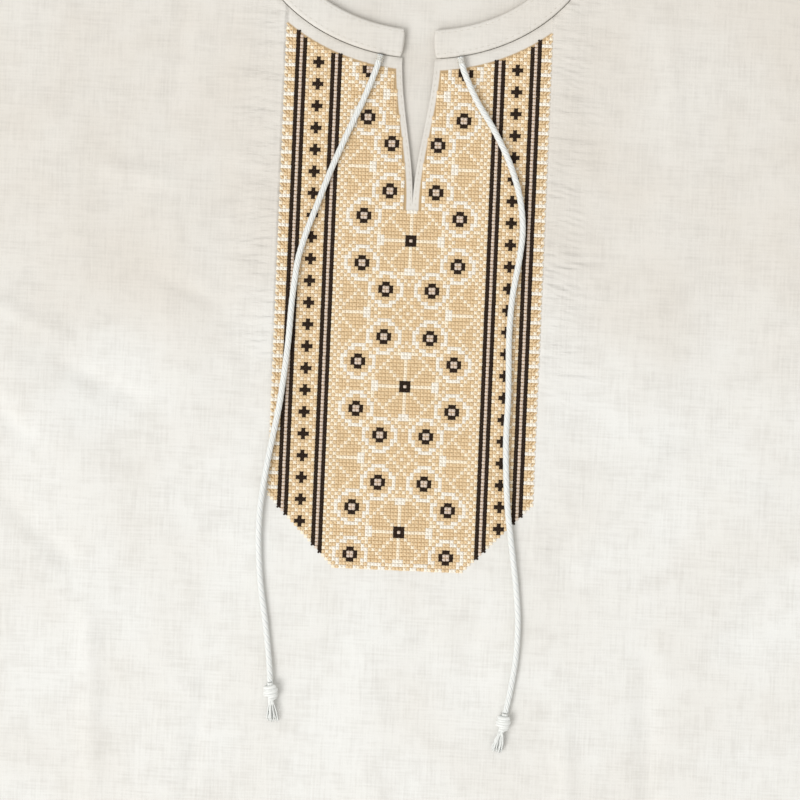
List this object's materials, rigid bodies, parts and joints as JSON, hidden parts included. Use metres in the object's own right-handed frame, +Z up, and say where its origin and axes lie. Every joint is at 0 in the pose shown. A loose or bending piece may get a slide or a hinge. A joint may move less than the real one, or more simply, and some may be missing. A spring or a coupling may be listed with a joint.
{
  "type": "romanian ie blouse",
  "caption": "Long-sleeved linen folk blouse laid flat, front up, with a cross-stitched chest panel, a neck slit and two twisted tie cords.",
  "frame": {"origin": "on the table under the middle of the laid blouse, cords left out", "axes": "+X across the blouse to the right as seen from above, +Y from the hem to the shoulders, +Z up from the table"},
  "size_m": [1.5606, 0.6748, 0.0109],
  "materials": {
    "linen": "matte off-white plain-weave linen, lightly creased",
    "thread_tan": "tan cotton embroidery thread, cross-stitched",
    "thread_cream": "cream cotton embroidery thread, cross-stitched",
    "thread_white": "white cotton embroidery thread, cross-stitched",
    "thread_rose": "pale rose-beige cotton embroidery thread, cross-stitched",
    "thread_black": "black cotton embroidery thread, cross-stitched",
    "thread_sewing": "off-white sewing thread",
    "cord_cotton": "white twisted cotton cord with a slight sheen"
  },
  "bodies": {
    "root": {"back": "linen", "front": "linen", "sleeve_left": "linen", "sleeve_right": "linen", "gusset_left": "linen", "gusset_right": "linen", "neckband_left": "linen", "neckband_right": "linen", "neckband_back": "linen", "chest_embroidery": "thread_tan", "cord_left": "cord_cotton", "cord_right": "cord_cotton", "knot_left": "cord_cotton", "knot_right": "cord_cotton"}
  },
  "joints": []
}
